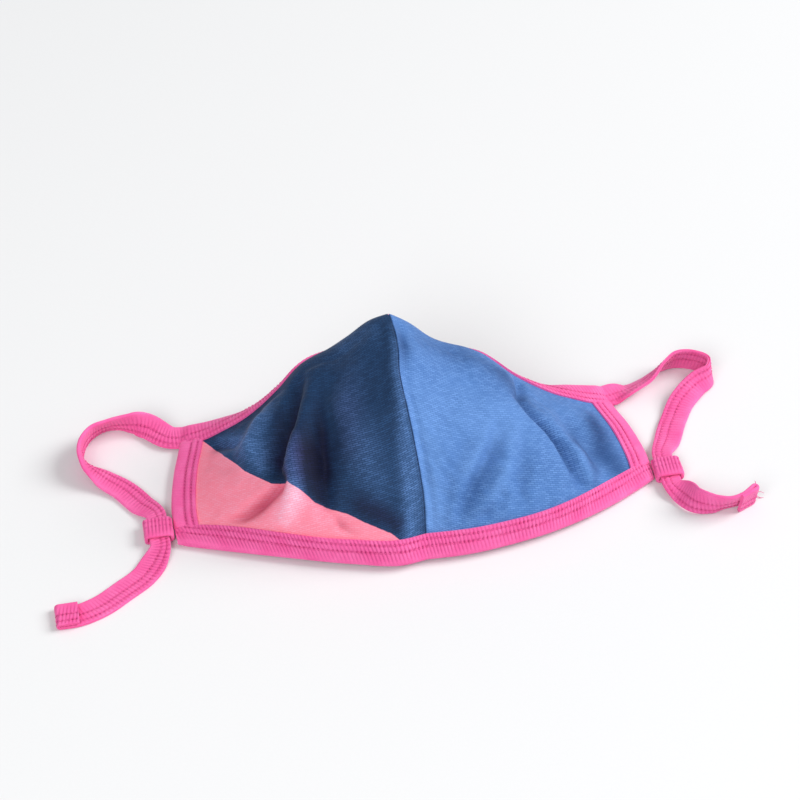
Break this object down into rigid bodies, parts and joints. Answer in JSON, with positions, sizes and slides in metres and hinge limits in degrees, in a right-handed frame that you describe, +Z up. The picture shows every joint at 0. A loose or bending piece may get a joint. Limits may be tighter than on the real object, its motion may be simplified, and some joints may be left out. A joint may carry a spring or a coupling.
{
  "type": "cloth face mask",
  "caption": "Two-panel cloth face mask lying face up, with tape bindings and adjustable tape ear loops that run through small keepers to hemmed tails.",
  "frame": {"origin": "under the middle of the whole, on the surface it lies on", "axes": "+Z up, away from the surface; +Y from the chin edge to the nose edge; +X to the right as seen from the chin edge"},
  "size_m": [0.288, 0.105, 0.0633],
  "materials": {
    "left_cloth": "matt knitted cloth, shaded navy blue, with a coral corner at the chin edge",
    "right_cloth": "matt knitted cloth, bright sky blue with fine crosswise rows",
    "tape": "magenta pink ribbed knit tape, folded and stitched"
  },
  "bodies": {
    "root": {"left_panel": "left_cloth", "right_panel": "right_cloth", "top_binding": "tape", "bottom_binding": "tape", "left_side_binding": "tape", "right_side_binding": "tape", "left_ear_strap": "tape", "right_ear_strap": "tape", "left_keeper": "tape", "right_keeper": "tape"}
  },
  "joints": []
}
